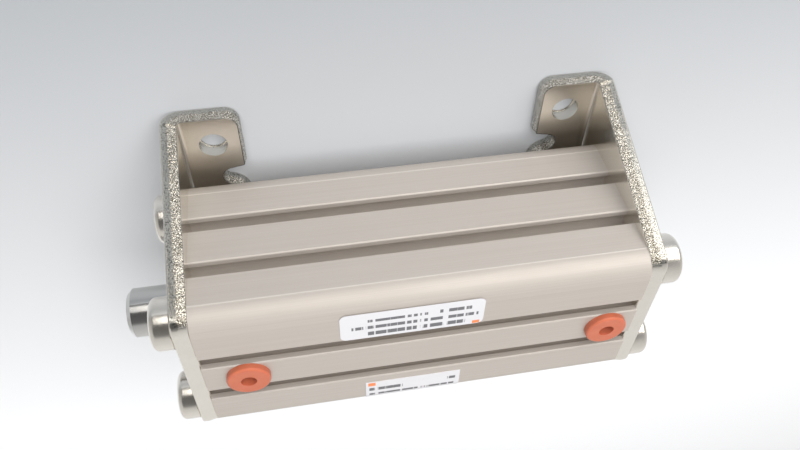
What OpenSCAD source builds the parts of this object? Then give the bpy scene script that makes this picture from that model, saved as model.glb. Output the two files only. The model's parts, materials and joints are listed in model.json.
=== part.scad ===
// Compact double-acting pneumatic cylinder on two bent-sheet feet.
// Frame: +Z up, the feet stand on Z = 0, the cylinder's axis runs along X with
// the rod towards +X, and the origin is the middle of the four foot holes.

/* [Cylinder] */
// Piston stroke
stroke = 50; // [30:5:80]
// Bore of the tube
bore_d = 20; // [19:0.5:20.5]
// Width and height of the square tube
tube_w = 36; // [35:0.5:38]
// Rounding of the tube's long edges
tube_r = 4.4; // [3:0.1:5]
// Pitch of the four corner holes, both ways
corner_pitch = 25.5; // [24.5:0.1:26]
// Length of the tube beyond the stroke
tube_extra = 35; // [34:1:45]

/* [Sensor grooves] */
// Distance from a face's middle to each of its two grooves
groove_offset = 5.5; // [5.2:0.1:6]
// Width of the groove's mouth
groove_mouth = 3.2; // [2.6:0.1:3.4]
// Diameter of the round channel behind the mouth
groove_d = 4.6; // [4:0.1:4.8]

/* [Rod] */
// Diameter of the piston rod
rod_d = 10; // [8:0.5:10]
// Rod standing out of the tube when it is drawn in
rod_out = 14.5; // [8:0.5:30]
// Diameter of the thread in the rod's end
rod_thread_d = 5; // [4:1:6]
// Depth of the thread in the rod's end
rod_thread_depth = 12; // [8:1:14]

/* [Feet] */
// Height of the axis above the mounting plane
axis_h = 24; // [23:0.5:30]
// Sheet thickness
sheet = 3.2; // [2.5:0.1:3.5]
// Width across the two tabs of a foot
foot_w = 62; // [60:1:66]
// Spacing of a foot's two holes, across the axis
foot_pitch = 48; // [47:0.5:50]
// Diameter of the foot holes
foot_hole_d = 6.6; // [5.5:0.1:7]
// From the plate's outer face to the foot holes
foot_hole_in = 9.2; // [9:0.1:11]
// From the foot holes to the foot's free edge
foot_hole_edge = 5.8; // [5:0.1:6.5]
// Hole in the plate around the cylinder's axis
plate_hole_d = 20; // [16:0.5:21]

/* [Bolts] */
// Head diameter of the low-head cap screws
head_d = 9.8; // [9:0.1:10]
// Head height
head_h = 3.8; // [3:0.1:5]
// Width across the flats of the hexagon socket
socket_af = 4; // [3:0.5:5]
// Length under the head
bolt_l = 12; // [10:1:16]

/* [Ports] */
// From the tube's rod end to the rod-side port
rod_port_in = 8.2; // [8:0.1:9]
// From the tube's head end to the head-side port
head_port_in = 6; // [5.6:0.1:6.4]
// Diameter of the port thread
port_d = 5; // [4:0.5:6]
// Flange diameter of the port plugs
plug_flange_d = 8.3; // [7.5:0.1:9]

/* [Hidden] */
$fn = 96;
eps = 0.01;

// Lengthwise layout: the tube's ends, then the stack inside it
tube_l = stroke + tube_extra;
rod_end_x = tube_l / 2;
head_end_x = -tube_l / 2;
rim = 0.8;                              // rolled rim that holds the head plate
head_boss = 8;                          // from the head end to the piston's stop
bumper_t = 1;
piston_l = 11;
piston_x = head_end_x + head_boss + bumper_t;   // piston's rear face, drawn in
cover_face_x = piston_x + piston_l + bumper_t + stroke;   // rod cover's stop face

// Seats bored into the tube's two ends
seat_d = bore_d + 2;
rod_seat = 6.2;                         // depth of the rod-side seat
head_seat = 4.4;                        // depth of the head-side seat
ring_t = 1;                             // retaining ring's thickness
ring_in = 0.5;                          // from the tube's end to the ring
ring_groove_d = seat_d + 1.4;
cover_end_x = rod_end_x - ring_in - ring_t;

// Clearances
slide_gap = 0.03;                       // radial running clearance
loose_gap = 0.1;                        // radial clearance where nothing runs
slip = 0.05;                            // axial play of a ring in its groove

// Fasteners and ports
corner = corner_pitch / 2;
bolt_d = 6;
tapped_depth = 11;
through_d = 5.1;
port_depth = 5.5;
port_bleed_d = 2.6;
top_z = axis_h + tube_w / 2;
plate_top = top_z - 0.3;

// Feet
plate_x = rod_end_x + sheet;            // outer face of the rod-side plate
foot_hole_x = plate_x - foot_hole_in;
foot_edge_x = foot_hole_x - foot_hole_edge;
bend_r = 0.8;                           // inner bend radius
tab_r = 3;                              // outer corner of a tab
notch_r = 1.75;                         // notch's round end
notch = [3, 15.05];                     // its centre, from the free edge and from the axis
tongue_r = 4.75;                        // rounding of the tongue between the notches
burr = [0.8, 18.1];                     // centre of the tab's inner corner rounding
shoulder_r = 3.4;                       // rounding of the plate's top corners
shoulder_y = tube_w / 2 + 0.4;          // half the plate's width at the shoulders

// Surface of the moving parts
piston_d = bore_d - 0.4;
spigot_d = 6;
sticker_t = 0.12;

// ---------------------------------------------------------------- helpers

// Cylinder along +X from x0 to x1
module rod_x(x0, x1, d) {
    translate([x0, 0, axis_h])
        rotate([0, 90, 0])
            cylinder(h = x1 - x0, d = d);
}

// Solid of revolution about the cylinder's axis, drawn as [radius, x] points
module turned(points) {
    translate([0, 0, axis_h])
        rotate([0, 90, 0])
            rotate_extrude()
                polygon(points);
}

// Flat ring about the axis
module ring_x(x0, x1, inner_d, outer_d) {
    turned([[inner_d / 2, x0], [outer_d / 2, x0], [outer_d / 2, x1], [inner_d / 2, x1]]);
}

// Round-section ring (an O-ring) about the axis, centred on x
module o_ring(x, middle_d, section) {
    translate([x, 0, axis_h])
        rotate([0, 90, 0])
            rotate_extrude()
                translate([middle_d / 2, 0])
                    circle(d = section, $fn = 32);
}

// Square with rounded corners, centred, with true arcs
module rounded_square(w, h, r) {
    square([w - 2 * r, h], center = true);
    square([w, h - 2 * r], center = true);
    for (sx = [-1, 1], sy = [-1, 1])
        translate([sx * (w / 2 - r), sy * (h / 2 - r)])
            circle(r = r);
}

// Places its children at the four corner holes of an end face; +Z points outwards
module at_corners(x, out = 1) {
    for (sy = [-1, 1], sz = [-1, 1])
        translate([x, sy * corner, axis_h + sz * corner])
            rotate([0, out * 90, 0])
                children();
}

// ---------------------------------------------------------------- tube

// Sensor groove, cut from the top side of the section: chamfered mouth and channel
module groove_section() {
    lip = 0.25;
    depth = tube_w / 2;
    channel_depth = 2.9;
    half = groove_mouth / 2;
    polygon([[-half - lip, depth + eps], [-half - lip, depth], [-half, depth - lip],
        [-half, depth - channel_depth], [half, depth - channel_depth],
        [half, depth - lip], [half + lip, depth], [half + lip, depth + eps]]);
    translate([0, depth - channel_depth])
        circle(d = groove_d, $fn = 48);
}

module tube_section() {
    difference() {
        rounded_square(tube_w, tube_w, tube_r);
        for (turn = [0:3], side = [-1, 1])
            rotate(90 * turn)
                translate([side * groove_offset, 0])
                    groove_section();
    }
}

// Stepped port drilled from the top face into the bore
module port_hole(x) {
    translate([x, 0, axis_h])
        cylinder(h = tube_w, d = port_bleed_d);
    translate([x, 0, top_z - port_depth])
        cylinder(h = port_depth + eps, d = port_d);
}

module cylinder_tube() {
    lead = 0.4;
    color([0.78, 0.76, 0.73])
    difference() {
        translate([head_end_x, 0, axis_h])
            rotate([90, 0, 90])
                linear_extrude(tube_l)
                    tube_section();
        rod_x(head_end_x - eps, rod_end_x + eps, bore_d);
        rod_x(rod_end_x - rod_seat, rod_end_x + eps, seat_d);
        ring_x(cover_end_x, rod_end_x - ring_in, bore_d - 2, ring_groove_d);
        turned([[0, rod_end_x - lead / 2], [seat_d / 2, rod_end_x - lead / 2],
            [seat_d / 2 + lead, rod_end_x + lead / 2], [0, rod_end_x + lead / 2]]);
        rod_x(head_end_x + rim, head_end_x + head_seat, seat_d);
        rod_x(head_end_x - eps, head_end_x + rim + eps, seat_d - 1.2);
        at_corners(rod_end_x, -1) {
            translate([0, 0, -eps])
                cylinder(h = tapped_depth, d = bolt_d, $fn = 48);
            cylinder(h = tube_l, d = through_d, $fn = 48);
        }
        at_corners(head_end_x)
            translate([0, 0, -eps])
                cylinder(h = tapped_depth, d = bolt_d, $fn = 48);
        port_hole(rod_end_x - rod_port_in);
        port_hole(head_end_x + head_port_in);
    }
}

// ---------------------------------------------------------------- rod end

bush_d = rod_d + 2;
bush_x0 = cover_face_x + 0.6;
bush_l = 6.4;
seal_d = rod_d + 5;
seal_l = 3.4;
seal_x0 = cover_end_x - seal_l - 0.4;
gasket_section = 1.4;
gasket_x = rod_end_x - rod_seat + 2;

module rod_cover() {
    neck_d = bore_d - 4;
    color([0.62, 0.62, 0.61])
    difference() {
        union() {
            rod_x(cover_face_x, rod_end_x - rod_seat + eps, neck_d);
            turned([[0, rod_end_x - rod_seat], [seat_d / 2 - slide_gap, rod_end_x - rod_seat],
                [seat_d / 2 - slide_gap, cover_end_x], [0, cover_end_x]]);
        }
        rod_x(cover_face_x - eps, cover_end_x + eps, rod_d + 2 * loose_gap);
        rod_x(cover_face_x - eps, bush_x0 + bush_l, bush_d);
        rod_x(seal_x0, cover_end_x + eps, seal_d);
        ring_x(gasket_x - gasket_section / 2 - slip, gasket_x + gasket_section / 2 + slip,
            seat_d - 2 * gasket_section, seat_d + 1);
    }
}

// Sintered bush that guides the rod
module rod_bush() {
    color([0.55, 0.47, 0.33])
        ring_x(bush_x0, bush_x0 + bush_l, rod_d + 2 * slide_gap, bush_d);
}

// Lip seal: its two lips lean on the rod
module rod_seal() {
    lip_r = rod_d / 2 + slide_gap;
    waist_r = lip_r + 0.7;
    color([0.10, 0.10, 0.11])
        turned([[lip_r, seal_x0], [seal_d / 2, seal_x0], [seal_d / 2, seal_x0 + seal_l],
            [lip_r, seal_x0 + seal_l], [lip_r, seal_x0 + seal_l - 0.5],
            [waist_r, seal_x0 + seal_l - 1.3], [waist_r, seal_x0 + 1.3],
            [lip_r, seal_x0 + 0.5]]);
}

module rod_cover_gasket() {
    color([0.10, 0.10, 0.11])
        o_ring(gasket_x, seat_d - gasket_section, gasket_section - 0.02);
}

// Internal retaining ring with two drilled ears; its gap faces down
module retaining_ring() {
    ear_angle = 17;
    ring_inner = seat_d - 2.6;
    ear_at = ring_inner / 2 - 0.2;
    gap_w = 4.6;
    color([0.33, 0.32, 0.30])
    translate([cover_end_x, 0, axis_h])
        rotate([90, 0, 90])
            linear_extrude(ring_t)
                difference() {
                    union() {
                        difference() {
                            circle(d = ring_groove_d - 0.2);
                            circle(d = ring_inner);
                            translate([-gap_w / 2, -seat_d])
                                square([gap_w, seat_d]);
                        }
                        for (side = [-1, 1])
                            rotate(side * ear_angle)
                                translate([0, -ear_at])
                                    circle(d = 3, $fn = 32);
                    }
                    for (side = [-1, 1])
                        rotate(side * ear_angle)
                            translate([0, -ear_at])
                                circle(d = 1.4, $fn = 32);
                }
}

// ---------------------------------------------------------------- head end

head_gasket_x = head_end_x + 2.6;

// Plate that closes the tube's head end, with a boss that stops the piston
module head_plate() {
    boss_d = bore_d - 6;
    color([0.66, 0.66, 0.65])
    difference() {
        union() {
            rod_x(head_end_x + rim, head_end_x + head_seat, seat_d - 2 * slide_gap);
            rod_x(head_end_x + head_seat - eps, head_end_x + head_boss, boss_d);
        }
        ring_x(head_gasket_x - gasket_section / 2 - slip, head_gasket_x + gasket_section / 2 + slip,
            seat_d - 2 * gasket_section, seat_d + 1);
        rod_x(head_end_x + rim - eps, head_end_x + rim + 0.5, seat_d - 8);
    }
}

module head_plate_gasket() {
    color([0.10, 0.10, 0.11])
        o_ring(head_gasket_x, seat_d - gasket_section, gasket_section - 0.02);
}

// ---------------------------------------------------------------- moving stack

seal_at = piston_x + 1.6;               // piston seal's groove
seal_w = 2.2;
magnet_at = piston_x + 5;               // magnet's groove
magnet_w = 2.6;
wear_at = piston_x + 8.8;               // wear ring's groove
wear_w = 1.6;
groove_floor = bore_d - 4.4;
magnet_floor = bore_d - 5;
bumper_d = bore_d - 4;

module piston_rod() {
    chamfer = 0.9;
    tip_x = rod_end_x + rod_out;
    shoulder_x = piston_x + piston_l;
    color([0.80, 0.81, 0.82])
    difference() {
        union() {
            turned([[0, shoulder_x], [rod_d / 2, shoulder_x], [rod_d / 2, tip_x - chamfer],
                [rod_d / 2 - chamfer, tip_x], [0, tip_x]]);
            rod_x(piston_x, shoulder_x + eps, spigot_d);
        }
        rod_x(tip_x - rod_thread_depth, tip_x + eps, rod_thread_d);
        turned([[0, tip_x - 0.4], [rod_thread_d / 2, tip_x - 0.4],
            [rod_thread_d / 2 + 0.5, tip_x + 0.1], [0, tip_x + 0.1]]);
    }
}

module piston() {
    color([0.70, 0.70, 0.69])
    difference() {
        rod_x(piston_x, piston_x + piston_l, piston_d);
        rod_x(piston_x - eps, piston_x + piston_l + eps, spigot_d);
        rod_x(piston_x + piston_l - 1.2, piston_x + piston_l + eps, spigot_d + 2.4);
        ring_x(seal_at, seal_at + seal_w, groove_floor, bore_d + 1);
        ring_x(magnet_at, magnet_at + magnet_w, magnet_floor, bore_d + 1);
        ring_x(wear_at, wear_at + wear_w, groove_floor, bore_d + 1);
    }
}

// Seals the spigot between the rod's shoulder and the piston
module piston_gasket() {
    color([0.10, 0.10, 0.11])
        o_ring(piston_x + piston_l - 0.6, spigot_d + 1.2, 1.16);
}

// Double lip seal: each side lip leans on the bore
module piston_seal() {
    inner_r = groove_floor / 2 + slide_gap;
    lip_r = bore_d / 2 - slide_gap;
    x0 = seal_at + slip;
    x1 = seal_at + seal_w - slip;
    color([0.13, 0.13, 0.13])
        turned([[inner_r, x0], [lip_r - 0.5, x0], [lip_r, x0 + 0.35],
            [lip_r - 0.5, (x0 + x1) / 2], [lip_r, x1 - 0.35], [lip_r - 0.5, x1],
            [inner_r, x1]]);
}

module wear_ring() {
    color([0.88, 0.86, 0.78])
        ring_x(wear_at + slip, wear_at + wear_w - slip, groove_floor + 2 * slide_gap,
            bore_d - 2 * slide_gap);
}

module magnet_ring() {
    color([0.22, 0.20, 0.19])
        ring_x(magnet_at, magnet_at + magnet_w, magnet_floor, piston_d - 0.2);
}

// Rubber washers on the piston's faces that soften the end stops
module rod_side_bumper() {
    color([0.16, 0.16, 0.17])
        ring_x(piston_x + piston_l, piston_x + piston_l + bumper_t, rod_d + 0.2, bumper_d);
}

module head_side_bumper() {
    color([0.16, 0.16, 0.17])
        ring_x(piston_x - bumper_t, piston_x, spigot_d + 1, bumper_d);
}

// ---------------------------------------------------------------- feet

// Bent sheet seen along Y, for the rod side: plate, foot and bend
module foot_profile() {
    outer_r = bend_r + sheet;
    difference() {
        union() {
            translate([rod_end_x, 0])
                square([sheet, plate_top]);
            translate([foot_edge_x, 0])
                square([plate_x - foot_edge_x, sheet]);
            translate([rod_end_x - bend_r, sheet - eps])
                square([bend_r + eps, bend_r + eps]);
        }
        translate([rod_end_x - bend_r, sheet + bend_r])
            circle(r = bend_r, $fn = 48);
        difference() {
            translate([plate_x - outer_r, -eps])
                square([outer_r + eps, outer_r + eps]);
            translate([plate_x - outer_r, outer_r])
                circle(r = outer_r);
        }
    }
}

// Plate's outline seen along X: slanted sides that run tangent into round shoulders
module plate_outline() {
    waist_z = 3.2;                      // height at which the slanted sides start
    shoulder = [shoulder_y - shoulder_r, plate_top - shoulder_r];
    waist = [foot_w / 2, waist_z];
    reach = norm(waist - shoulder);
    fall = atan2(waist.y - shoulder.y, waist.x - shoulder.x);
    touch = fall + acos(shoulder_r / reach);
    tangent = shoulder + shoulder_r * [cos(touch), sin(touch)];
    for (side = [0, 1])
        mirror([side, 0]) {
            polygon([[0, -eps], [waist.x, -eps], waist, tangent, shoulder,
                [shoulder.x, plate_top], [0, plate_top]]);
            translate(shoulder)
                circle(r = shoulder_r);
        }
}

// Foot's outline seen along Z: two tabs, two round-ended notches and a tongue, whose
// edges run tangent into each other
module foot_outline() {
    // tongue: its rounding runs tangent into the notch's round end
    tongue = [tongue_r, notch.y - sqrt(pow(notch_r + tongue_r, 2) - pow(tongue_r - notch.x, 2))];
    joint_x = notch.x + notch_r * (tongue_r - notch.x) / (notch_r + tongue_r);
    // tab: its inner edge is tangent to the corner rounding and to the round end
    burr_r = burr.x;
    apart = burr - notch;
    lean = atan2(apart.y, apart.x) - acos((burr_r + notch_r) / norm(apart));
    away = [cos(lean), sin(lean)];
    translate([foot_edge_x, 0])
        difference() {
            union() {
                // everything behind the notches' round ends
                translate([joint_x, -foot_w / 2])
                    square([plate_x - foot_edge_x - joint_x + 1, foot_w]);
                translate([0, -tongue.y])
                    square([joint_x + eps, 2 * tongue.y]);
                for (side = [0, 1])
                    mirror([0, side]) {
                        intersection() {
                            translate(tongue)
                                circle(r = tongue_r);
                            square([joint_x + eps, notch.y]);
                        }
                        translate(burr)
                            circle(r = burr_r, $fn = 48);
                        polygon([[0, burr.y], burr, burr - burr_r * away,
                            notch + notch_r * away, [joint_x + eps, notch.y],
                            [joint_x + eps, foot_w / 2], [0, foot_w / 2]]);
                    }
            }
            for (side = [-1, 1])
                corner_cut(0, side * foot_w / 2, side, tab_r);
        }
}

// What a rounding removes at a corner of the foot's free edge; side tells which way
// the material's side edge faces along Y
module corner_cut(x, y, side, r) {
    translate([x, y])
        mirror([0, side > 0 ? 1 : 0])
            difference() {
                translate([-eps, -eps])
                    square([r + eps, r + eps]);
                translate([r, r])
                    circle(r = r, $fn = 64);
            }
}

// Foot bracket for the rod side; the head side is its mirror image
module foot_bracket() {
    difference() {
        intersection() {
            translate([0, foot_w / 2 + 1, 0])
                rotate([90, 0, 0])
                    linear_extrude(foot_w + 2)
                        foot_profile();
            translate([foot_edge_x - 1, 0, 0])
                rotate([90, 0, 90])
                    linear_extrude(plate_x - foot_edge_x + 2)
                        plate_outline();
            translate([0, 0, -1])
                linear_extrude(top_z + 2)
                    foot_outline();
        }
        for (side = [-1, 1]) {
            translate([foot_hole_x, side * foot_pitch / 2, -1])
                cylinder(h = sheet + 2, d = foot_hole_d);
            translate([foot_edge_x + notch.x, side * notch.y, -1])
                cylinder(h = sheet + 2, r = notch_r, $fn = 48);
        }
        rod_x(rod_end_x - 1, plate_x + 1, plate_hole_d);
        at_corners(rod_end_x - 1)
            cylinder(h = sheet + 2, d = bolt_d + 0.6, $fn = 48);
    }
}

module rod_side_foot() {
    color([0.74, 0.71, 0.64])
        foot_bracket();
}

module head_side_foot() {
    color([0.74, 0.71, 0.64])
        mirror([1, 0, 0])
            foot_bracket();
}

// ---------------------------------------------------------------- bolts

// Low-head cap screw: head from Z = 0 upwards, shank below
module cap_screw() {
    rim_r = 0.7;
    socket_depth = 2.3;
    difference() {
        union() {
            rotate_extrude($fn = 64) {
                square([head_d / 2, head_h - rim_r]);
                square([head_d / 2 - rim_r, head_h]);
                translate([head_d / 2 - rim_r, head_h - rim_r])
                    circle(r = rim_r, $fn = 32);
            }
            translate([0, 0, -bolt_l])
                cylinder(h = bolt_l + eps, d = bolt_d - 0.1, $fn = 48);
        }
        translate([0, 0, head_h - socket_depth])
            cylinder(h = socket_depth + eps, d = socket_af / cos(30), $fn = 6);
    }
}

module rod_side_bolts() {
    color([0.76, 0.74, 0.70])
        at_corners(plate_x)
            cap_screw();
}

module head_side_bolts() {
    color([0.76, 0.74, 0.70])
        at_corners(-plate_x, -1)
            cap_screw();
}

// ---------------------------------------------------------------- plugs, stickers

// Push-in port plug: round-edged flange with a dimple, and a hollow tapered stem
module port_plug(x) {
    flange_t = 1.4;
    edge_r = 0.5;
    stem_d = port_d - 0.2;
    stem_l = 4.2;
    dimple_d = 3;
    color([0.85, 0.36, 0.24])
    translate([x, 0, top_z])
        difference() {
            union() {
                rotate_extrude($fn = 64) {
                    square([plug_flange_d / 2, flange_t - edge_r]);
                    square([plug_flange_d / 2 - edge_r, flange_t]);
                    translate([plug_flange_d / 2 - edge_r, flange_t - edge_r])
                        circle(r = edge_r, $fn = 32);
                }
                translate([0, 0, -stem_l])
                    cylinder(h = stem_l + eps, d = stem_d, $fn = 48);
            }
            translate([0, 0, -stem_l + 1])
                cylinder(h = stem_l + flange_t, d = dimple_d, $fn = 48);
        }
}

module rod_port_plug() {
    port_plug(rod_end_x - rod_port_in);
}

module head_port_plug() {
    port_plug(head_end_x + head_port_in);
}

// Blank test sticker on the port face, beside the upper groove
module test_sticker() {
    len_x = 27;
    wide_y = 7.7;
    middle_x = 3;
    edge_y = -groove_offset - groove_mouth / 2 - 0.3;
    color([0.93, 0.92, 0.94])
    translate([middle_x, edge_y - wide_y / 2, top_z])
        linear_extrude(sticker_t)
            rounded_square(len_x, wide_y, 1.2);
}

// Blank type sticker that wraps over the tube's long edge
module type_sticker() {
    len_x = 19.6;
    middle_x = 2.3;
    start_y = 9.3;
    wrap_z = axis_h + tube_w / 2 - tube_r - 1;
    color([0.93, 0.92, 0.94])
    translate([middle_x - len_x / 2, 0, 0])
        rotate([90, 0, 90])
            linear_extrude(len_x)
                intersection() {
                    translate([0, axis_h])
                        difference() {
                            rounded_square(tube_w + 2 * sticker_t, tube_w + 2 * sticker_t,
                                tube_r + sticker_t);
                            rounded_square(tube_w, tube_w, tube_r);
                        }
                    translate([start_y, wrap_z])
                        square([tube_w, tube_w]);
                }
}

// ---------------------------------------------------------------- nodes

cylinder_tube();
rod_cover();
rod_bush();
rod_seal();
rod_cover_gasket();
retaining_ring();
head_plate();
head_plate_gasket();
piston_rod();
piston();
piston_gasket();
piston_seal();
wear_ring();
magnet_ring();
rod_side_bumper();
head_side_bumper();
rod_side_foot();
head_side_foot();
rod_side_bolts();
head_side_bolts();
rod_port_plug();
head_port_plug();
test_sticker();
type_sticker();
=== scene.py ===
import json
import math

import bmesh
import bpy
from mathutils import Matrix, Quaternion, Vector, geometry, noise


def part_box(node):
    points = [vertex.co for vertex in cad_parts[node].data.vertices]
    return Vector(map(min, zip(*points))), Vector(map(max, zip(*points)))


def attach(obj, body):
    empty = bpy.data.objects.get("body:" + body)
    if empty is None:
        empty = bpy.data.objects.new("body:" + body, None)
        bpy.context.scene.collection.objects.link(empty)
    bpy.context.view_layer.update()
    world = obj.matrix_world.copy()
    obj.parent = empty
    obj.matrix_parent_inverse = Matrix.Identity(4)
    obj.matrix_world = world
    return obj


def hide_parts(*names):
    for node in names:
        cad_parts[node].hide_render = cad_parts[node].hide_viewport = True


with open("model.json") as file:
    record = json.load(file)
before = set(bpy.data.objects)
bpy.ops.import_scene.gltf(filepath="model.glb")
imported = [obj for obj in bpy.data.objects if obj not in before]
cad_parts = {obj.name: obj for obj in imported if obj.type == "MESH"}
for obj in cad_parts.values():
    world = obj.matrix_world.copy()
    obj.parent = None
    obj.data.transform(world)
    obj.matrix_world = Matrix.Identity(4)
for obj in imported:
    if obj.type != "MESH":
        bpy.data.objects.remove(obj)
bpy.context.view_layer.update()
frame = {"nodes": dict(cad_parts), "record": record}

# Sizes below are in millimetres and become metres through MM. The frame gives the ones
# that it holds; the rest repeat the part's own design.
MM = 0.001


def box_mm(node):
    """Lowest and highest corner of a CAD node, in millimetres."""
    low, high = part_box(node)
    return low / MM, high / MM


tube_low, tube_high = box_mm("cylinder_tube")
foot_low, foot_high = box_mm("rod_side_foot")
axis_z = (tube_low.z + tube_high.z) / 2


# ------------------------------------------------------------------ camera and light

VIEW_AZIMUTH = 9.6          # degrees that the view turns from +Y towards -X
VIEW_ELEVATION = 40.56      # degrees above the horizon
VIEW_ROLL = 166.93          # degrees: the cylinder is seen with its feet up
VIEW_DISTANCE = 140         # from the camera to AIM
AIM = Vector((3.0, -20.9, 27.2))    # point that the camera looks at
LENS = 33.731               # focal length on a sensor 36 wide
NEAREST = 5                 # the camera sees nothing nearer than this


def direction(azimuth, elevation):
    """Unit vector from the object towards a camera or light, which at azimuth 0 is on the
    -Y side; angles are in degrees."""
    azimuth, elevation = math.radians(azimuth), math.radians(elevation)
    return Vector((math.sin(azimuth) * math.cos(elevation),
                   -math.cos(azimuth) * math.cos(elevation), math.sin(elevation)))


def add_camera():
    """Camera at the viewing angle, turned about its own axis by the roll."""
    back = direction(VIEW_AZIMUTH, VIEW_ELEVATION)
    data = bpy.data.cameras.new("camera")
    data.lens = LENS
    data.clip_start = NEAREST * MM
    camera = bpy.data.objects.new("camera", data)
    camera.rotation_mode = "QUATERNION"
    roll = Quaternion((0, 0, 1), math.radians(VIEW_ROLL))
    camera.rotation_quaternion = (-back).to_track_quat("-Z", "Y") @ roll
    camera.location = (AIM + back * VIEW_DISTANCE) * MM
    bpy.context.scene.collection.objects.link(camera)
    bpy.context.scene.camera = camera


def add_light(name, azimuth, elevation, distance, size, radiance, color, mirrored=True):
    """Soft rectangular light aimed at the object, distance and size in millimetres. One that
    isn't mirrored lights matt surfaces only."""
    back = direction(azimuth, elevation)
    data = bpy.data.lights.new(name, "AREA")
    data.shape = "RECTANGLE"
    data.size, data.size_y = size[0] * MM, size[1] * MM
    data.energy = radiance * math.pi * data.size * data.size_y
    data.color = color
    light = bpy.data.objects.new(name, data)
    light.location = (Vector((0, 0, axis_z)) + back * distance) * MM
    light.rotation_mode = "QUATERNION"
    light.rotation_quaternion = (-back).to_track_quat("-Z", "Y")
    light.visible_camera = False
    light.visible_glossy = mirrored
    bpy.context.scene.collection.objects.link(light)


KEY_COLOR, FILL_COLOR = (1.0, 0.965, 0.91), (0.98, 0.99, 1.0)
SURROUND = (0.28, 0.86)     # strength of the surroundings, on the -Y and the +Y side
SURROUND_COLOR = (1.0, 0.985, 0.965)
SHADED = (0.10, -0.45, 0.89)    # direction of the unlit part of the room
SHADED_REACH = (0.79, 0.94)     # cosines from that direction where the shade starts and is full
SHADED_STRENGTH = 0.33      # what is left of the surroundings there


def add_world():
    """Pale surroundings with an unlit part above and in front of the cylinder, which the
    metal needs for its dark bands."""
    world = bpy.data.worlds.new("studio")
    world.use_nodes = True
    bpy.context.scene.world = world
    tree = world.node_tree
    coords = tree.nodes.new("ShaderNodeTexCoord")
    split = tree.nodes.new("ShaderNodeSeparateXYZ")
    tree.links.new(coords.outputs["Generated"], split.inputs[0])
    level = tree.nodes.new("ShaderNodeMapRange")
    tree.links.new(split.outputs["Y"], level.inputs["Value"])
    for socket, value in (("From Min", -1), ("To Min", SURROUND[0]), ("To Max", SURROUND[1])):
        level.inputs[socket].default_value = value
    towards = tree.nodes.new("ShaderNodeVectorMath")
    towards.operation = "DOT_PRODUCT"
    towards.inputs[1].default_value = SHADED
    tree.links.new(coords.outputs["Generated"], towards.inputs[0])
    shade = tree.nodes.new("ShaderNodeMapRange")
    shade.interpolation_type = "SMOOTHSTEP"
    tree.links.new(towards.outputs["Value"], shade.inputs["Value"])
    for socket, value in (("From Min", SHADED_REACH[0]), ("From Max", SHADED_REACH[1]),
                          ("To Min", 1), ("To Max", SHADED_STRENGTH)):
        shade.inputs[socket].default_value = value
    strength = tree.nodes.new("ShaderNodeMath")
    strength.operation = "MULTIPLY"
    tree.links.new(level.outputs[0], strength.inputs[0])
    tree.links.new(shade.outputs[0], strength.inputs[1])
    background = tree.nodes["Background"]
    background.inputs["Color"].default_value = (*SURROUND_COLOR, 1)
    tree.links.new(strength.outputs[0], background.inputs["Strength"])


# ------------------------------------------------------------------ materials

MIX_FACTOR, MIX_FIRST, MIX_SECOND, MIX_RESULT = 0, 6, 7, 2  # a Mix node's sockets for colours


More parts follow.
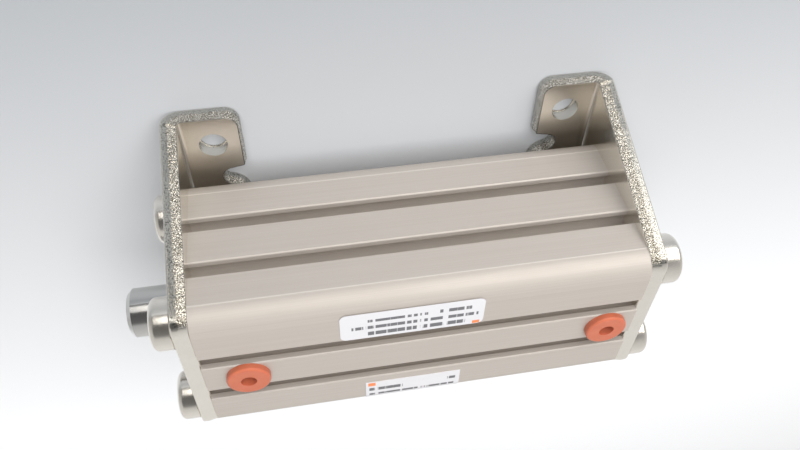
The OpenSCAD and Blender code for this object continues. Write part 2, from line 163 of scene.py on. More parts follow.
class Shader:
    """A Principled material and the textures that feed it; textures work in millimetres."""

    def __init__(self, name, metallic=0.0):
        self.material = bpy.data.materials.new(name)
        self.material.use_nodes = True
        self.nodes = self.material.node_tree.nodes
        self.links = self.material.node_tree.links
        self.bsdf = self.nodes["Principled BSDF"]
        self.set("Metallic", metallic)
        coords = self.add("ShaderNodeTexCoord")
        self.place = self.vector("MULTIPLY", coords.outputs["Object"], [1 / MM] * 3)

    def set(self, socket, value):
        self.bsdf.inputs[socket].default_value = value

    def add(self, kind, **settings):
        node = self.nodes.new(kind)
        for key, value in settings.items():
            setattr(node, key, value)
        return node

    def feed(self, node, inputs):
        """Sets or links a node's inputs in order."""
        for socket, value in zip(node.inputs, inputs):
            if isinstance(value, bpy.types.NodeSocket):
                self.links.new(value, socket)
            else:
                socket.default_value = value

    def math(self, operation, *inputs):
        node = self.add("ShaderNodeMath", operation=operation)
        self.feed(node, inputs)
        return node.outputs[0]

    def vector(self, operation, *inputs):
        node = self.add("ShaderNodeVectorMath", operation=operation)
        self.feed(node, inputs)
        return node.outputs["Value" if operation == "DISTANCE" else "Vector"]

    def noise(self, size, stretch=(1, 1, 1), detail=2.0, shift=0.0):
        """Noise of about that size; stretch above 1 draws it out along an axis."""
        scaled = self.vector("MULTIPLY_ADD", self.place, [1 / s for s in stretch], [shift] * 3)
        node = self.add("ShaderNodeTexNoise")
        self.links.new(scaled, node.inputs["Vector"])
        node.inputs["Scale"].default_value = 1 / size
        node.inputs["Detail"].default_value = detail
        return node.outputs["Fac"]

    def spread(self, value, low, high, start=0.0, end=1.0):
        """Carries value from start..end to low..high."""
        node = self.add("ShaderNodeMapRange")
        self.feed(node, (value, start, end, low, high))
        return node.outputs[0]

    def mix(self, factor, first, second):
        """Colour between two colours or colour sockets."""
        node = self.add("ShaderNodeMix", data_type="RGBA")
        for number, value in ((MIX_FACTOR, factor), (MIX_FIRST, first), (MIX_SECOND, second)):
            if isinstance(value, bpy.types.NodeSocket):
                self.links.new(value, node.inputs[number])
            else:
                node.inputs[number].default_value = (*value, 1)
        return node.outputs[MIX_RESULT]

    def attribute(self, name):
        return self.add("ShaderNodeAttribute", attribute_name=name).outputs["Fac"]

    def color(self, socket):
        self.links.new(socket, self.bsdf.inputs["Base Color"])

    def rough(self, socket):
        self.links.new(socket, self.bsdf.inputs["Roughness"])

    def bump(self, height, depth):
        """Adds relief: height 0..1 stands for depth millimetres. Calls add up."""
        node = self.add("ShaderNodeBump")
        node.inputs["Strength"].default_value = 1
        node.inputs["Distance"].default_value = depth * MM
        self.links.new(height, node.inputs["Height"])
        earlier = self.bsdf.inputs["Normal"].links
        if earlier:
            self.links.new(earlier[0].from_socket, node.inputs["Normal"])
        self.links.new(node.outputs[0], self.bsdf.inputs["Normal"])


TUBE_ROUND = 4.4            # rounding of the tube's long edges
GROOVE_OFFSET, GROOVE_MOUTH = 5.5, 3.2  # a groove's distance from a face's middle, its width
LIP_WIDTH = 0.22            # strip along the tube's long edges that has a painted highlight
LIP_RELIEF = LIP_WIDTH / 8
LIP_HIGHLIGHT_SHARE = 0.5              # how much of the strip's colour is the painted highlight
FAR_FROM_LIPS = 9.0


def anodised_tube():
    """Extruded aluminium, hard anodised: warm grey satin with faint lengthwise lines and a
    painted highlight along its long edges.
    """
    shader = Shader("anodised_tube", metallic=0.5)
    lines = shader.noise(0.22, stretch=(300, 1, 1), detail=4)
    cloud = shader.noise(9, stretch=(3, 1, 1))
    satin = shader.mix(shader.spread(lines, 0, 1, 0.3, 0.7),
                       shader.mix(cloud, (0.53, 0.48, 0.435), (0.555, 0.51, 0.465)),
                       shader.mix(cloud, (0.57, 0.52, 0.475), (0.595, 0.55, 0.505)))
    shader.bump(lines, 0.006)
    shader.bump(shader.noise(0.12), 0.004)
    # the flat faces' long edges: creases at the rounded corners, lips of the grooves; a strip
    # along them is raised, smoother and lightened as a painted highlight
    face, crease = tube_high.y, tube_high.y - TUBE_ROUND
    centred = shader.vector("ABSOLUTE", shader.vector("SUBTRACT", shader.place, (0, 0, axis_z)))
    across = shader.vector("MULTIPLY", centred, (0, 1, 1))
    away = FAR_FROM_LIPS
    lips = (GROOVE_OFFSET - GROOVE_MOUTH / 2, GROOVE_OFFSET + GROOVE_MOUTH / 2)
    for corner in ([(0, face, crease)] + [(0, face, lip) for lip in lips]
                   + [(0, lip, face) for lip in lips]):
        away = shader.math("MINIMUM", shader.vector("DISTANCE", across, corner), away)
    lip_strip = shader.spread(away, 1, 0, 0, LIP_WIDTH)
    shader.bump(lip_strip, LIP_RELIEF)
    # painted highlight: the strip's colour is lightened towards a pale metal colour
    shader.color(shader.mix(shader.math("MULTIPLY", lip_strip, LIP_HIGHLIGHT_SHARE), satin, (0.92, 0.88, 0.83)))
    shader.rough(shader.math("MULTIPLY", shader.spread(lip_strip, 1, 0.7),
                             shader.spread(shader.noise(1.2, stretch=(8, 1, 1)), 0.50, 0.60)))
    return shader.material


def nickel_sheet():
    """Nickel-plated steel sheet; the sheared edge is burnished, then torn and grainy. Its
    burnished part is painted dark as a reflection, and its torn grain has painted glints.
    """
    shader = Shader("nickel_sheet", metallic=1.0)
    cut, torn = shader.attribute("cut"), shader.attribute("torn")
    plate = shader.mix(shader.noise(6), (0.85, 0.82, 0.755), (0.90, 0.87, 0.81))
    streaks = shader.spread(shader.noise(0.2, detail=3), 0, 1, 0.40, 0.50)
    # painted dark reflection: the burnished edge's colour is kept very dark, with lighter drag
    # streaks
    edge = shader.mix(streaks, (0.14, 0.138, 0.125), (0.60, 0.59, 0.55))
    # painted glints: bright specks mixed into the torn grain's dark golden colour
    glint_specks = shader.spread(shader.noise(0.17, detail=3, shift=3), 0, 1, 0.47, 0.57)
    torn_grain_and_glints = shader.mix(glint_specks, (0.18, 0.16, 0.12), (1.0, 0.96, 0.88))
    shader.color(shader.mix(cut, plate, shader.mix(torn, edge, torn_grain_and_glints)))
    shader.rough(shader.math("ADD", shader.spread(shader.noise(2.5), 0.16, 0.25),
                             shader.spread(torn, 0, 0.06)))
    shader.bump(shader.noise(3.5), 0.012)
    shader.bump(shader.noise(0.5, stretch=(1, 6, 6)), 0.002)
    shader.bump(shader.math("MULTIPLY", shader.noise(0.26, detail=3), cut), 0.02)
    shader.bump(shader.math("MULTIPLY", shader.noise(0.3, detail=4, shift=5), torn), 0.13)
    return shader.material


def nickel_screw():
    """Nickel-plated screw: satin, with faint turning marks; the socket is rougher and darkened
    with painted shade.
    """
    shader = Shader("nickel_screw", metallic=1.0)
    socket = shader.attribute("socket")
    plated = shader.mix(shader.noise(1.5), (0.80, 0.765, 0.705), (0.87, 0.835, 0.78))
    # painted shade: the socket's colour is darkened
    shader.color(shader.mix(socket, plated, (0.30, 0.285, 0.26)))
    shader.rough(shader.math("ADD", shader.spread(shader.noise(0.8), 0.17, 0.25),
                             shader.spread(socket, 0, 0.18)))
    shader.bump(shader.noise(0.12, stretch=(1, 30, 30)), 0.001)
    shader.bump(shader.noise(0.9), 0.006)
    return shader.material


def rod_chrome():
    """Hard chrome on a ground rod: grey, bright, with fine grinding rings."""
    shader = Shader("rod_chrome", metallic=1.0)
    shader.color(shader.mix(shader.noise(3), (0.56, 0.56, 0.55), (0.61, 0.61, 0.60)))
    shader.rough(shader.spread(shader.noise(0.1, stretch=(1, 60, 60)), 0.13, 0.21))
    shader.bump(shader.noise(0.08, stretch=(1, 90, 90)), 0.001)
    return shader.material


TOOL_MARK = 0.15            # width of the rings that turning leaves


def machined(name, dark, light, roughness):
    """Turned metal inside the cylinder, with rings of tool marks."""
    shader = Shader(name, metallic=1.0)
    shader.color(shader.mix(shader.noise(1.2), dark, light))
    rings = shader.noise(TOOL_MARK, stretch=(1, 40, 40))
    shader.rough(shader.spread(rings, roughness - 0.05, roughness + 0.08))
    shader.bump(rings, 0.004)
    return shader.material


def rubber(name, dark, light):
    """Nitrile rubber: nearly black, matt, very finely grained."""
    shader = Shader(name)
    shader.color(shader.mix(shader.noise(0.8), dark, light))
    shader.rough(shader.spread(shader.noise(0.4), 0.5, 0.7))
    shader.bump(shader.noise(0.08), 0.006)
    return shader.material


def hard_plastic(name, dark, light, roughness):
    """Moulded plastic without gloss, slightly mottled."""
    shader = Shader(name)
    shader.color(shader.mix(shader.noise(0.9), dark, light))
    shader.rough(shader.spread(shader.noise(0.5), roughness - 0.06, roughness + 0.06))
    shader.bump(shader.noise(0.2), 0.004)
    return shader.material


def plug_plastic():
    """Soft orange polyethylene of the port plugs."""
    shader = Shader("plug_plastic")
    shader.set("Subsurface Weight", 0.15)
    shader.set("Subsurface Radius", (1.0, 0.25, 0.1))
    shader.set("Subsurface Scale", 0.0012)
    shader.color(shader.mix(shader.noise(2.2), (0.46, 0.115, 0.058), (0.54, 0.155, 0.085)))
    shader.rough(shader.spread(shader.noise(0.4), 0.36, 0.5))
    shader.bump(shader.noise(0.35), 0.006)
    return shader.material


def sticker_film(node, bars, mark):
    """White film with rows of plain grey bars and a small orange mark. A bar or mark is
    (first x, last x, middle, height), where the middle counts along the sticker's width and
    runs on over the tube's edge."""
    shader = Shader(node)
    top = box_mm(node)[1].z
    split = shader.add("ShaderNodeSeparateXYZ")
    shader.links.new(shader.place, split.inputs[0])
    x = split.outputs["X"]
    across = shader.math("ADD", shader.math("SUBTRACT", split.outputs["Y"],
                                            split.outputs["Z"]), top)

    def covered(first, last, middle, height):
        along = shader.math("ABSOLUTE", shader.math("SUBTRACT", x, (first + last) / 2))
        aside = shader.math("ABSOLUTE", shader.math("SUBTRACT", across, middle))
        return shader.math("MULTIPLY",
                           shader.math("LESS_THAN", along, (last - first) / 2),
                           shader.math("LESS_THAN", aside, height / 2))

    printed = 0.0
    for bar in bars:
        printed = shader.math("MAXIMUM", covered(*bar), printed)
    gaps = shader.spread(shader.noise(0.8, stretch=(1, 40, 40)), 0, 1, 0.38, 0.44)
    film = shader.mix(shader.noise(4), (0.63, 0.625, 0.65), (0.67, 0.665, 0.685))
    grey = shader.mix(shader.math("MULTIPLY", printed, gaps), film, (0.13, 0.13, 0.14))
    shader.color(shader.mix(covered(*mark), grey, (0.80, 0.22, 0.07)))
    shader.rough(shader.spread(shader.noise(0.6), 0.4, 0.52))
    shader.bump(shader.noise(0.15), 0.003)
    return shader.material


TEST_BARS = ((-7.0, 11.4, -8.75, 1.15), (-9.4, 14.4, -10.75, 0.95), (0.2, 11.4, -12.75, 0.8),
             (-8.0, -2.0, -12.9, 1.0))
TEST_MARK = (-9.8, -8.4, -8.0, 0.9)
TYPE_BARS = ((4.4, 11.4, 12.0, 1.1), (-6.6, -4.9, 11.6, 1.0), (-6.4, 11.4, 14.0, 0.9),
             (-3.0, 11.4, 20.6, 0.9), (2.0, 11.4, 22.4, 0.8))
TYPE_MARK = (10.1, 11.6, 10.1, 1.2)


# ------------------------------------------------------------------ bent-sheet feet

# Places on a foot are (from its free edge, from the axis), along the flat sheet.
BEND_INNER = 0.8            # inner bend radius
TAB_ROUND = 3.0             # rounding of a tab's outer corner
NOTCH = Vector((3.0, 15.05))    # centre of a notch's round end
NOTCH_ROUND = 1.75
TONGUE_ROUND = 4.75         # rounding of the tongue between the notches
INNER_CORNER = Vector((0.8, 18.1))  # centre of the rounding at a tab's inner corner
WAIST_Z = 3.2               # height at which the plate starts to narrow
SHOULDER_ROUND = 3.4        # rounding of the plate's top corners
SHOULDER_OUT = 0.4          # the shoulders stand this far outside the tube
PLATE_HOLE = 10.0           # radius of the hole around the axis
SCREW_HOLE = 3.3            # radius of the four holes for the cylinder's own screws
SCREW_PITCH = 25.5          # their distance, both ways
BEND_STEPS = 20             # points over the bend on the outline's side

plate_x, edge_x = foot_high.x, foot_low.x
sheet = plate_x - tube_high.x
bend_outer = BEND_INNER + sheet
flat_length = plate_x - bend_outer - edge_x
bend_length = bend_outer * math.pi / 2
STEP = 0.24                 # spacing of points along a cut edge
ROW = 0.2                   # spacing of points across it
# Rows of points across a cut edge as (inset, depth from the outer face): the rolled part,
# the depths of the sheared part, whose inset varies, and the burr at the inner face.
ROLL_ROWS = [(0.5, 0), (0.26, 0.045), (0.1, 0.15), (0.02, 0.34)]
SHEARED_ROWS = [0.5 + ROW * i for i in range(round((sheet - 0.6) / ROW) + 1)]
BURR_ROWS = [(0.07, sheet - 0.04), (0.23, sheet)]
EDGE_FLARE, HOLE_FLARE = 0.35, 0.25     # how far the torn part leans back at the inner face
EDGE_ROUGHNESS = 1          # graininess of the sheet's outer cut edge
HOLE_ROUGHNESS = 0.1        # of the holes' edges
TOP_ROUGHNESS = 0.08        # and of the plate's top edge
TOP_BAND = 0.6              # height of the band along the top that counts as top edge
TEAR_START = 0.42           # share of the thickness at which the tearing starts
TEAR_WAVER = 0.10           # how much that share wavers
TEAR_BLEND = 0.18           # depth over which burnished turns into torn
DRAG = 0.012                # relief of the burnished part
GRAIN_INSET, COARSE_GRAIN, FINE_GRAIN = 0.02, 0.12, 0.08    # relief of the torn part
NEXT_LOOP = 40.0            # shift between the loops, so that each has a relief of its own


def mount(name):
    """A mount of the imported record, by its name."""
    return next(m for m in frame["record"]["mounts"] if m["name"] == name)


def mesh_data(mesh, name):
    """Turns a bmesh into mesh data of that name."""
    made = bpy.data.meshes.new(name)
    mesh.to_mesh(made)
    mesh.free()
    return made


def unrolled(z):
    """Place along the flat sheet of a point at height z of the plate's outer face."""
    return flat_length + bend_length + z - bend_outer


def line(start, end):
    """Points from start up to, but without, end."""
    start, end = Vector(start), Vector(end)
    count = max(1, round((end - start).length / STEP))
    return [start.lerp(end, i / count) for i in range(count)]


def arc(centre, radius, start, end):
    """Points on an arc from angle start up to, but without, end, in degrees."""
    start, end = math.radians(start), math.radians(end)
    count = max(6, round(abs(end - start) * radius / STEP))
    turns = [start + (end - start) * i / count for i in range(count)]
    return [Vector(centre) + radius * Vector((math.cos(a), math.sin(a))) for a in turns]


def polar(degrees, radius=1.0):
    """Point at an angle and a distance from the origin."""
    turn = math.radians(degrees)
    return radius * Vector((math.cos(turn), math.sin(turn)))


def tongue_and_notch():
    """Free edge from the middle of the tongue round the notch to a tab's inner corner."""
    sideways = TONGUE_ROUND - NOTCH.x
    rounds = NOTCH_ROUND + TONGUE_ROUND
    tongue = Vector((TONGUE_ROUND, NOTCH.y - math.sqrt(rounds ** 2 - sideways ** 2)))
    join = 90 + math.degrees(math.asin(sideways / rounds))
    apart = INNER_CORNER - NOTCH
    slant = math.degrees(math.atan2(apart.y, apart.x)
                         - math.acos((INNER_CORNER.x + NOTCH_ROUND) / apart.length))
    away = polar(slant)
    return (line((0, 0), (0, tongue.y))
            + arc(tongue, TONGUE_ROUND, 180, join)
            + arc(NOTCH, NOTCH_ROUND, join - 180, slant)
            + line(NOTCH + away * NOTCH_ROUND, INNER_CORNER - away * INNER_CORNER.x)
            + arc(INNER_CORNER, INNER_CORNER.x, slant + 180, 180))


def tab_and_plate():
    """Outline from a tab's inner corner over the bend and the shoulder to the top's middle."""
    side = foot_high.y
    top = unrolled(foot_high.z)
    waist = flat_length + bend_outer * math.acos(1 - WAIST_Z / bend_outer)
    shoulder = Vector((top - SHOULDER_ROUND, tube_high.y + SHOULDER_OUT - SHOULDER_ROUND))
    reach = Vector((waist, side)) - shoulder
    lean = math.degrees(math.atan2(reach.y, reach.x))
    touch = lean - math.degrees(math.acos(SHOULDER_ROUND / reach.length))
    bend = [Vector((flat_length + (waist - flat_length) * i / BEND_STEPS, side))
            for i in range(BEND_STEPS)]
    return (line((0, INNER_CORNER.y), (0, side - TAB_ROUND))
            + arc((TAB_ROUND, side - TAB_ROUND), TAB_ROUND, 180, 90)
            + line((TAB_ROUND, side), (flat_length, side))
            + bend
            + line((waist, side), shoulder + polar(touch, SHOULDER_ROUND))
            + arc(shoulder, SHOULDER_ROUND, touch, 0)
            + line((top, shoulder.y), (top, 0)))


def sheet_outline():
    """Outline of the flat sheet as (along, across) points, first the +Y half."""
    half = tongue_and_notch() + tab_and_plate()
    top_middle = Vector((unrolled(foot_high.z), 0))
    return half + [top_middle] + [Vector((p.x, -p.y)) for p in reversed(half[1:])]


def circle(centre, radius):
    """Points round a hole, in the opposite sense to the outline's."""
    return list(reversed(arc(centre, radius, 0, 360)))


def sheet_holes():
    """Holes of the flat sheet: two for the mounting screws, one round the axis, four for
    the cylinder's own screws."""
    pattern = mount("foot_holes")["dims"]
    along = pattern["spacing_x_mm"] / 2 - edge_x
    across = pattern["spacing_y_mm"] / 2
    loops = [circle((along, side * across), pattern["hole_r_mm"]) for side in (-1, 1)]
    loops.append(circle((unrolled(axis_z), 0), PLATE_HOLE))
    for side in (-1, 1):
        for level in (-1, 1):
            height = unrolled(axis_z + level * SCREW_PITCH / 2)
            loops.append(circle((height, side * SCREW_PITCH / 2), SCREW_HOLE))
    return loops


def outward(loop):
    """Unit normals of a closed loop of points, pointing out of the sheet."""
    normals = []
    for i, point in enumerate(loop):
        along = (loop[(i + 1) % len(loop)] - point).normalized()
        along += (point - loop[i - 1]).normalized()
        normals.append(Vector((-along.y, along.x)).normalized())
    return normals


def folded(along, across, depth):
    """Point of the bent sheet, in millimetres; depth runs from the outer to the inner face."""
    radius = bend_outer - depth
    turn = min(max(along - flat_length, 0), bend_length) / bend_outer
    beyond = along - flat_length - bend_length
    x = edge_x + min(along, flat_length) + radius * math.sin(turn)
    z = bend_outer - radius * math.cos(turn) + max(beyond, 0)
    return Vector((x, across, z))


def cut_edge(distance, depth, roughness, flare):
    """How far a sheared edge stands back at a place along it, and how torn it is there. The
    noise is divided by the size of its relief, and its single numbers only pick a slice."""
    tear = sheet * (TEAR_START + TEAR_WAVER * noise.noise((distance / 2.1, 0.3, roughness)))
    torn = min(max((depth - tear) / TEAR_BLEND, 0), 1)
    drag = DRAG + DRAG * noise.noise((distance / 0.5, 7.1, depth / 6))
    coarse = abs(noise.noise((distance / 0.55, depth / 0.5, 3.7)))
    fine = abs(noise.noise((distance / 0.3, depth / 0.28, 9.2)))
    crumbled = GRAIN_INSET + COARSE_GRAIN * coarse + FINE_GRAIN * fine
    leaning = flare * max(depth - tear, 0) / (sheet - tear)
    return leaning + roughness * (drag * (1 - torn) + crumbled * torn), torn * roughness


def edge_column(distance, roughness, flare):
    """Rows across a cut edge at one place along it, from the outer to the inner face, as
    (inset, depth, how torn, how far it counts as cut)."""
    column = []
    for inset, depth in ROLL_ROWS:
        share = roughness / 2 if depth else 0
        column.append((inset, depth, share, share))
    for depth in SHEARED_ROWS:
        inset, torn = cut_edge(distance, depth, roughness, flare)
        column.append((inset, depth, torn, roughness))
    for inset, depth in BURR_ROWS:
        column.append((flare + inset, depth, 0, roughness if depth < sheet else 0))
    return column


def edge_columns(mesh, number, loop, mirror):
    """Adds the points of a cut edge: for each point of the loop, that point, its normal and
    the column of vertices across the edge. Loop 0 is the outline, the others are holes."""
    cut = mesh.verts.layers.float["cut"]
    torn = mesh.verts.layers.float["torn"]
    top = unrolled(foot_high.z)
    flare = HOLE_FLARE if number else EDGE_FLARE
    distance = NEXT_LOOP * number
    columns = []
    for i, (point, normal) in enumerate(zip(loop, outward(loop))):
        distance += (point - loop[i - 1]).length if i else 0
        roughness = HOLE_ROUGHNESS if number else EDGE_ROUGHNESS
        if not number and point.x > top - TOP_BAND:
            roughness = TOP_ROUGHNESS
        verts = []
        for inset, depth, tear, share in edge_column(distance, roughness, flare):
            spot = point - normal * inset
            vert = mesh.verts.new(folded(spot.x, spot.y, depth) * MM)
            vert.co.x *= mirror
            vert[cut], vert[torn] = share, tear
            verts.append(vert)
        columns.append((point, normal, verts))
    return columns


def sheet_mesh(name, mirror):
    """Bent sheet with rolled, burnished and torn edges; mirror is -1 for the head side."""
    mesh = bmesh.new()
    for layer in ("cut", "torn"):
        mesh.verts.layers.float.new(layer)
    outer, inner = [], []
    for number, loop in enumerate([sheet_outline()] + sheet_holes()):
        columns = edge_columns(mesh, number, loop, mirror)
        for i, (_, _, verts) in enumerate(columns):
            following = columns[(i + 1) % len(columns)][2]
            for row in range(len(verts) - 1):
                quad = (verts[row], following[row], following[row + 1], verts[row + 1])
                mesh.faces.new(quad if mirror < 0 else quad[::-1])
        flare = HOLE_FLARE if number else EDGE_FLARE
        outer.append([(p - n * ROLL_ROWS[0][0], verts[0]) for p, n, verts in columns])
        inner.append([(p - n * (flare + BURR_ROWS[-1][0]), verts[-1])
                      for p, n, verts in columns])
    fill_face(mesh, outer, mirror < 0)
    fill_face(mesh, inner, mirror > 0)
    made = mesh_data(mesh, name)
    smooth_sheet(made, mirror)
    return made


BEND_BEFORE, BEND_AFTER = 0.01, 0.5     # the cross edges start and end this far from the bend
FILL_INSIDE = 1             # the fill keeps what is inside the loops
FILL_MERGE = 1e-6           # points nearer than this count as one


def fill_face(mesh, loops, flip):
    """Fills one face of the sheet between its loops of (flat point, vertex)."""
    points = [entry[0] for loop in loops for entry in loop]
    verts = [entry[1] for loop in loops for entry in loop]
    edges = []
    start = 0
    for loop in loops:
        edges += [(start + i, start + (i + 1) % len(loop)) for i in range(len(loop))]
        start += len(loop)
    owner = [number for number, loop in enumerate(loops) for _ in loop]
    outline = len(loops[0])
    # straight edges across the sheet along the bend, so that its faces follow the curve
    for i in range(outline // 2):
        if -BEND_BEFORE < points[i].x - flat_length < bend_length + BEND_AFTER:
            edges.append((i, outline - i))
    filled_points, _, filled_faces, origins, _, _ = geometry.delaunay_2d_cdt(
        points, edges, [], FILL_INSIDE, FILL_MERGE)
    if len(filled_points) != len(points):
        raise ValueError("the sheet's outline crosses itself")
    for face in filled_faces:
        source = [origins[i][0] for i in face]
        met = {owner[i] for i in source}
        if len(met) == 1 and 0 not in met:      # this face would close a hole
            continue
        corners = [verts[i] for i in source]
        mesh.faces.new(corners[::-1] if flip else corners)


def smooth_sheet(made, mirror):
    """Smooth shading on the cut edges, and the sheet's true normals on its two faces."""
    made.shade_smooth()
    cut = made.attributes["cut"].data
    normals = []
    for face in made.polygons:
        on_face = all(cut[i].value == 0 for i in face.vertices)
        for i in face.vertices:
            normals.append(sheet_normal(made.vertices[i].co / MM, face.normal, mirror)
                           if on_face else (0, 0, 0))
    made.normals_split_custom_set(normals)


def sheet_normal(point, facing, mirror):
    """Normal of the bent sheet's face near a point, on the side that facing tells."""
    turned = Vector((point.x * mirror - (plate_x - bend_outer), 0, point.z - bend_outer))
    if turned.x <= 0:
        normal = Vector((0, 0, -1))
    elif turned.z >= 0:
        normal = Vector((mirror, 0, 0))
    else:
        normal = Vector((turned.x * mirror, 0, turned.z)).normalized()
    return normal if normal.dot(facing) > 0 else -normal


def add_piece(name, mesh, body, slot, material, *replaced):
    """Puts a new piece in the scene, on a body, in place of the CAD nodes it stands for."""
    piece = bpy.data.objects.new(name, mesh)
    bpy.context.scene.collection.objects.link(piece)
    mesh.materials.append(material)
    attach(piece, body)
    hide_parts(*replaced)


# ------------------------------------------------------------------ screws

HEAD_RADIUS = 4.9
HEAD_EDGE = 1.2             # rounding of the head's rim
HEAD_CHAMFER = 0.15         # under the head
HEAD_DISH = 0.02            # how far the head's face sinks towards the socket
SHANK_RADIUS = 2.95
TIP_CHAMFER = 0.6
SOCKET_FLATS = 4.0
SOCKET_DEPTH = 2.3
LEAD_IN = 0.35              # chamfer around the socket
DRILL_RADIUS, DRILL_DEPTH = 0.9, 0.3    # flat bottom of the drill point under the socket
RIM_STEPS = 10
TURN_STEPS = 72
SHARP_ANGLE = 20            # degrees from which an edge of a screw is sharp


def screw_rings(head, shank):
    """Rings of a cap screw from its tip to the floor of its socket, as (height, radius,
    how far it has turned into a hexagon)."""
    flats = SOCKET_FLATS / 2
    corners = flats / math.cos(math.radians(30))
    rings = [(-shank, SHANK_RADIUS - TIP_CHAMFER, 0), (TIP_CHAMFER - shank, SHANK_RADIUS, 0),
             (0, SHANK_RADIUS, 0), (0, HEAD_RADIUS - HEAD_CHAMFER, 0),
             (HEAD_CHAMFER, HEAD_RADIUS, 0)]
    for i in range(RIM_STEPS + 1):
        turn = math.radians(90 * i / RIM_STEPS)
        rings.append((head - HEAD_EDGE + HEAD_EDGE * math.sin(turn),
                      HEAD_RADIUS - HEAD_EDGE + HEAD_EDGE * math.cos(turn), 0))
    return rings + [(head - HEAD_DISH, corners + LEAD_IN, 0), (head - LEAD_IN, flats, 1),
                    (head - SOCKET_DEPTH, flats, 1),
                    (head - SOCKET_DEPTH - DRILL_DEPTH, DRILL_RADIUS, 0)]


def screw_ring(mesh, centre, mirror, ring):
    """Vertices of one ring of a screw; a hexagon's flats lie at its radius."""
    height, radius, hexagon = ring
    socket = mesh.verts.layers.float["socket"]
    verts = []
    for i in range(TURN_STEPS):
        turn = 2 * math.pi * i / TURN_STEPS
        flat = math.radians((i * 360 / TURN_STEPS) % 60 - 30)
        reach = radius * (1 + hexagon * (1 / math.cos(flat) - 1))
        vert = mesh.verts.new(Vector((mirror * (plate_x + height),
                                      centre.x + reach * math.cos(turn),
                                      centre.y + reach * math.sin(turn))) * MM)
        # marks the socket, which the screw material makes rougher and darkens with painted shade
        vert[socket] = radius <= SOCKET_FLATS / 2
        verts.append(vert)
    return verts


def screws_mesh(name, mirror, node):
    """The four cap screws of one end, on the corners of the screw pattern."""
    low, high = box_mm(node)
    head = max(high.x, -low.x) - plate_x
    shank = high.x - low.x - head
    mesh = bmesh.new()
    mesh.verts.layers.float.new("socket")
    for side in (-1, 1):
        for level in (-1, 1):
            centre = Vector((side * SCREW_PITCH / 2, axis_z + level * SCREW_PITCH / 2))
            rows = [screw_ring(mesh, centre, mirror, ring) for ring in screw_rings(head, shank)]
            for row, following in zip(rows, rows[1:]):
                for i in range(TURN_STEPS):
                    j = (i + 1) % TURN_STEPS
                    mesh.faces.new((row[i], row[j], following[j], following[i]))
            for end in (rows[0], rows[-1]):
                mesh.faces.new(end)
    bmesh.ops.recalc_face_normals(mesh, faces=mesh.faces)
    made = mesh_data(mesh, name)
    made.shade_smooth()
    made.set_sharp_from_angle(angle=math.radians(SHARP_ANGLE))
    return made


# ------------------------------------------------------------------ floor

FLOOR_HALF = 1500
NEAR_SHADE_FADE = (-70, 85)      # the painted shade fades from grey to white between these places along Y
FAR_SHADE_FADE = (-200, -500)    # and the painted shade fades from grey to pale between these


def add_floor():
    """Paper floor with painted shade: pale all round and greyest beside the cylinder's -Y face.
    """
    mesh = bmesh.new()
    corners = [(-1, -1), (1, -1), (1, 1), (-1, 1)]
    mesh.faces.new([mesh.verts.new((x * FLOOR_HALF * MM, y * FLOOR_HALF * MM, 0))
                    for x, y in corners])
    made = mesh_data(mesh, "floor")
    shader = Shader("floor_paper")
    split = shader.add("ShaderNodeSeparateXYZ")
    shader.links.new(shader.place, split.inputs[0])
    shader.set("Roughness", 0.8)
    # painted shade: the floor is grey beside the cylinder's -Y face
    painted_grey = shader.mix(shader.noise(30), (0.31, 0.325, 0.345), (0.32, 0.335, 0.355))
    near = shader.mix(shader.spread(split.outputs["Y"], 0, 1, *NEAR_SHADE_FADE), painted_grey,
                      (0.96, 0.97, 0.99))
    shader.color(shader.mix(shader.spread(split.outputs["Y"], 0, 1, *FAR_SHADE_FADE), near,
                            (0.75, 0.76, 0.77)))
    made.materials.append(shader.material)
    floor = bpy.data.objects.new("floor", made)
    bpy.context.scene.collection.objects.link(floor)


# ------------------------------------------------------------------ scene

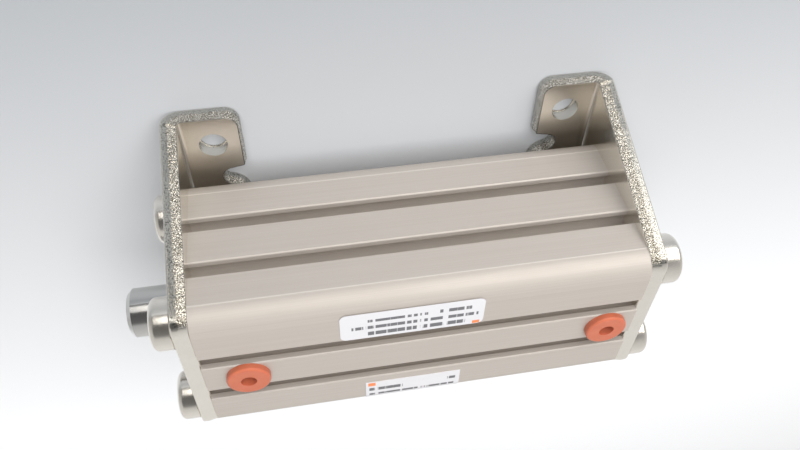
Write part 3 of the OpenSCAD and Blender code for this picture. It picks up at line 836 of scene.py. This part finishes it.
MATERIALS = {
    "anodised_tube": anodised_tube(),
    "nickel_sheet": nickel_sheet(),
    "nickel_screw": nickel_screw(),
    "rod_chrome": rod_chrome(),
    "cover_alloy": machined("cover_alloy", (0.52, 0.52, 0.51), (0.60, 0.60, 0.59), 0.3),
    "piston_alloy": machined("piston_alloy", (0.62, 0.61, 0.60), (0.70, 0.70, 0.69), 0.25),
    "bronze_bush": machined("bronze_bush", (0.42, 0.30, 0.16), (0.52, 0.38, 0.22), 0.4),
    "seal_rubber": rubber("seal_rubber", (0.014, 0.014, 0.015), (0.024, 0.024, 0.026)),
    "bumper_rubber": rubber("bumper_rubber", (0.024, 0.024, 0.026), (0.036, 0.036, 0.039)),
    "spring_steel": machined("spring_steel", (0.16, 0.15, 0.14), (0.24, 0.23, 0.21), 0.35),
    "wear_ring_plastic": hard_plastic("wear_ring_plastic", (0.72, 0.68, 0.55),
                                      (0.80, 0.76, 0.64), 0.5),
    "magnet_plastic": hard_plastic("magnet_plastic", (0.040, 0.034, 0.031),
                                   (0.060, 0.052, 0.048), 0.45),
    "plug_plastic": plug_plastic(),
}
STICKERS = {
    "test_sticker": sticker_film("test_sticker", TEST_BARS, TEST_MARK),
    "type_sticker": sticker_film("type_sticker", TYPE_BARS, TYPE_MARK),
}


def dress_nodes():
    """Gives every CAD node the material of the slot that it was packed with."""
    for name, node in frame["nodes"].items():
        slot = node.data.materials[0].name
        node.data.materials[0] = STICKERS[name] if name in STICKERS else MATERIALS[slot]


add_camera()
add_world()
bpy.context.scene.view_settings.view_transform = "Standard"
add_light("key", azimuth=-33, elevation=17, distance=450, size=(400, 330), radiance=2.2,
          color=KEY_COLOR)
add_light("key_side", azimuth=8, elevation=21, distance=450, size=(190, 200), radiance=1.9,
          color=KEY_COLOR)
add_light("fill", azimuth=-5, elevation=55, distance=500, size=(500, 500), radiance=3.8,
          color=FILL_COLOR, mirrored=False)
add_floor()
dress_nodes()
for side, mirror in (("rod_side", 1), ("head_side", -1)):
    add_piece(side + "_foot_sheet", sheet_mesh(side + "_foot_sheet", mirror), "cylinder_body",
              "nickel_sheet", MATERIALS["nickel_sheet"], side + "_foot")
    add_piece(side + "_cap_screws", screws_mesh(side + "_cap_screws", mirror, side + "_bolts"),
              "cylinder_body", "nickel_screw", MATERIALS["nickel_screw"], side + "_bolts")
